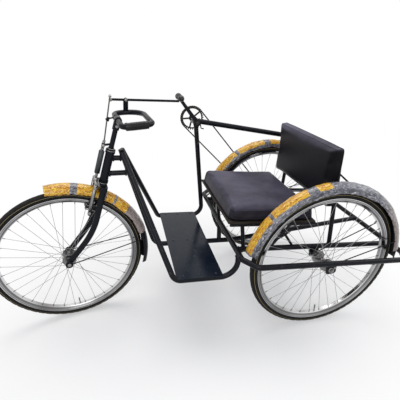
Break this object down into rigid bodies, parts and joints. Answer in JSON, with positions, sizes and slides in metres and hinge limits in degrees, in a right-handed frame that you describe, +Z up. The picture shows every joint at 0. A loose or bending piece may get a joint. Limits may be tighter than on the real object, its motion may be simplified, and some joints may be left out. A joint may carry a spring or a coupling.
{
  "type": "hand-cranked mobility tricycle",
  "caption": "Parked hand-cranked mobility tricycle: upholstered bench seat between the rear wheels, steered front wheel with a loop handle, side crank and chain to a rear wheel",
  "frame": {"origin": "On the ground, in the middle of the floor area that the whole tricycle covers as it stands", "axes": "+X points forward, from the rear wheels to the front wheel; +Y points to the rider's left; +Z is up"},
  "size_m": [1.9591, 0.873, 1.0894],
  "materials": {
    "black_frame_paint": "gloss",
    "sheet_floor": "gloss",
    "black_vinyl": "satin",
    "seat_board_wood": "matt",
    "guard_wrap": "gloss",
    "tyre": "matt",
    "chrome": "polished",
    "zinc": "satin",
    "chain_steel": "oiled",
    "black_grip": "matt",
    "brake_rubber": "matt"
  },
  "bodies": {
    "frame": {"head_tube": "black_frame_paint", "down_tube": "black_frame_paint", "keel_tube": "black_frame_paint", "side_braces": "black_frame_paint", "foot_rails": "black_frame_paint", "crank_post": "black_frame_paint", "footplate": "sheet_floor", "front_cross_tube": "black_frame_paint", "rear_cross_tube": "black_frame_paint", "outer_rails": "black_frame_paint", "inner_rails": "black_frame_paint", "rail_corners": "black_frame_paint", "seat_rails": "black_frame_paint", "seat_cross_bars": "black_frame_paint", "seat_braces": "black_frame_paint", "seat_board": "seat_board_wood", "seat_cushion": "black_vinyl", "back_cushion": "black_vinyl", "back_posts": "black_frame_paint", "back_bars": "black_frame_paint", "top_tube": "black_frame_paint", "crank_bearing": "black_frame_paint", "axle_hangers": "black_frame_paint", "rear_axles": "zinc", "mudguard_left": "guard_wrap", "mudguard_right": "guard_wrap", "chain": "chain_steel"},
    "steering": {"fork": "black_frame_paint", "handle_loop": "black_frame_paint", "handle_grip": "black_grip", "brake_lever": "chrome", "brake_rod": "chrome", "brake_stirrup": "chrome", "brake_pads": "brake_rubber", "mudguard_front": "guard_wrap", "front_axle": "zinc"},
    "front_wheel": {"tyre_front": "tyre", "rim_front": "chrome", "spokes_front": "zinc", "hub_front": "zinc"},
    "wheel_left": {"tyre_rear_left": "tyre", "rim_rear_left": "chrome", "spokes_rear_left": "zinc", "hub_rear_left": "zinc"},
    "wheel_right": {"tyre_rear_right": "tyre", "rim_rear_right": "chrome", "spokes_rear_right": "zinc", "hub_rear_right": "zinc"},
    "crank": {"chainwheel": "chain_steel", "crank_arm": "black_frame_paint", "crank_grip": "black_grip"}
  },
  "joints": [
    {"name": "steering_turn", "type": "hinge", "parent": "frame", "child": "steering", "pos_m": [0.54692, 0, 0.355], "axis": [-0.342, 0, 0.9397], "range_deg": [-48, 32]},
    {"name": "front_wheel_spin", "type": "hinge", "parent": "steering", "child": "front_wheel", "pos_m": [0.6271, 0.01058, 0.35475], "axis": [-0.1308, 0.9903, -0.0476], "continuous": true},
    {"name": "left_wheel_spin", "type": "hinge", "parent": "frame", "child": "wheel_left", "pos_m": [-0.53721, 0.35, 0.355], "axis": [0, 1, 0], "continuous": true},
    {"name": "right_wheel_spin", "type": "hinge", "parent": "frame", "child": "wheel_right", "pos_m": [-0.53721, -0.35, 0.355], "axis": [0, 1, 0], "continuous": true},
    {"name": "crank_spin", "type": "hinge", "parent": "frame", "child": "crank", "pos_m": [-0.0912, -0.31, 0.9], "axis": [0, 1, 0], "continuous": true}
  ]
}
